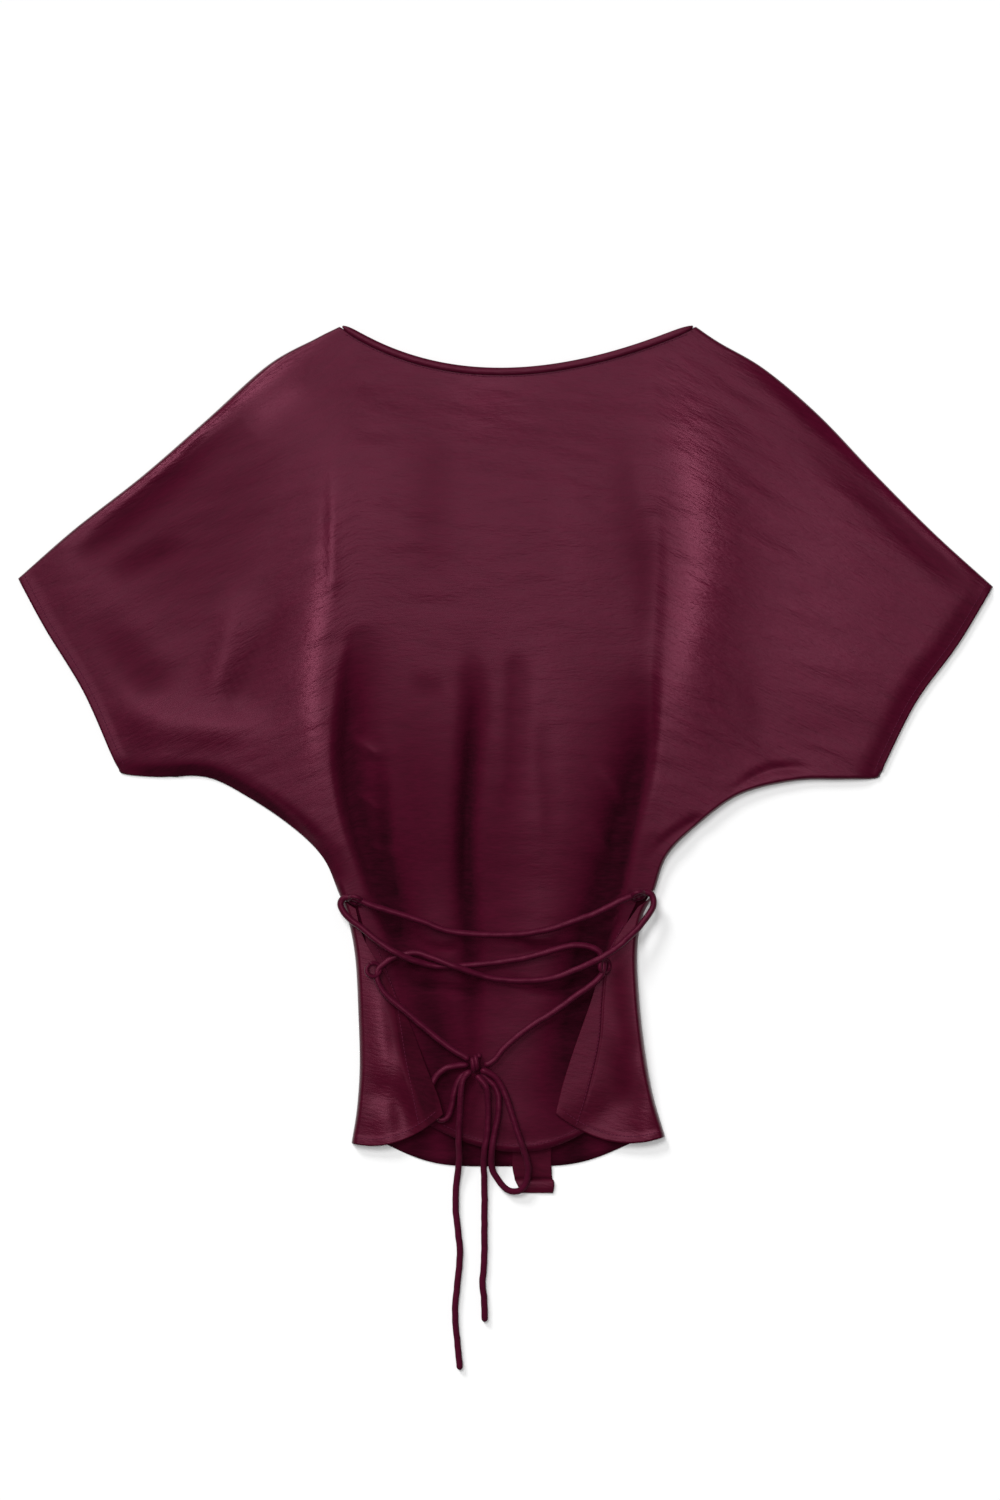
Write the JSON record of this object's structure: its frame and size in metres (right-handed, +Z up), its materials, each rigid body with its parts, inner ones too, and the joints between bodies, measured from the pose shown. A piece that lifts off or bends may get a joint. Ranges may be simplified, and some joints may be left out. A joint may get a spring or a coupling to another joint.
{
  "type": "tie waist top",
  "caption": "Boat-necked satin top with dolman half sleeves, laid flat, with wrap flaps laced at the waist by a rouleau tie in a bow.",
  "frame": {"origin": "centre of the cloth's extent on the surface that it lies on, the tie left out of the measure", "axes": "+Z up from the surface, +Y towards the neck, +X towards the right sleeve as seen from above; the sleeve span along X is the longest extent of the cloth"},
  "size_m": [0.722, 0.7768, 0.021],
  "materials": {
    "body_satin": "burgundy satin crepe, soft sheen with a fine slub across",
    "far_satin": "the same burgundy satin crepe, seen from inside at the hem",
    "flap_satin": "the same burgundy satin crepe, cut on another grain",
    "binding_satin": "bias binding of the same satin, topstitched",
    "tie_satin": "turned rouleau of the same satin, soft sheen along it"
  },
  "bodies": {
    "root": {"front_panel": "body_satin", "back_panel": "far_satin", "flap_left": "flap_satin", "flap_right": "flap_satin", "hem_tab": "flap_satin", "neck_binding_front": "binding_satin", "neck_binding_back": "binding_satin", "waist_loop_left": "tie_satin", "waist_loop_right": "tie_satin", "flap_loop_left": "tie_satin", "flap_loop_right": "tie_satin", "tie_lacing": "tie_satin", "bow_knot": "tie_satin", "bow_loop_left": "tie_satin", "bow_loop_right": "tie_satin", "bow_end_left": "tie_satin", "bow_end_right": "tie_satin"}
  },
  "joints": []
}
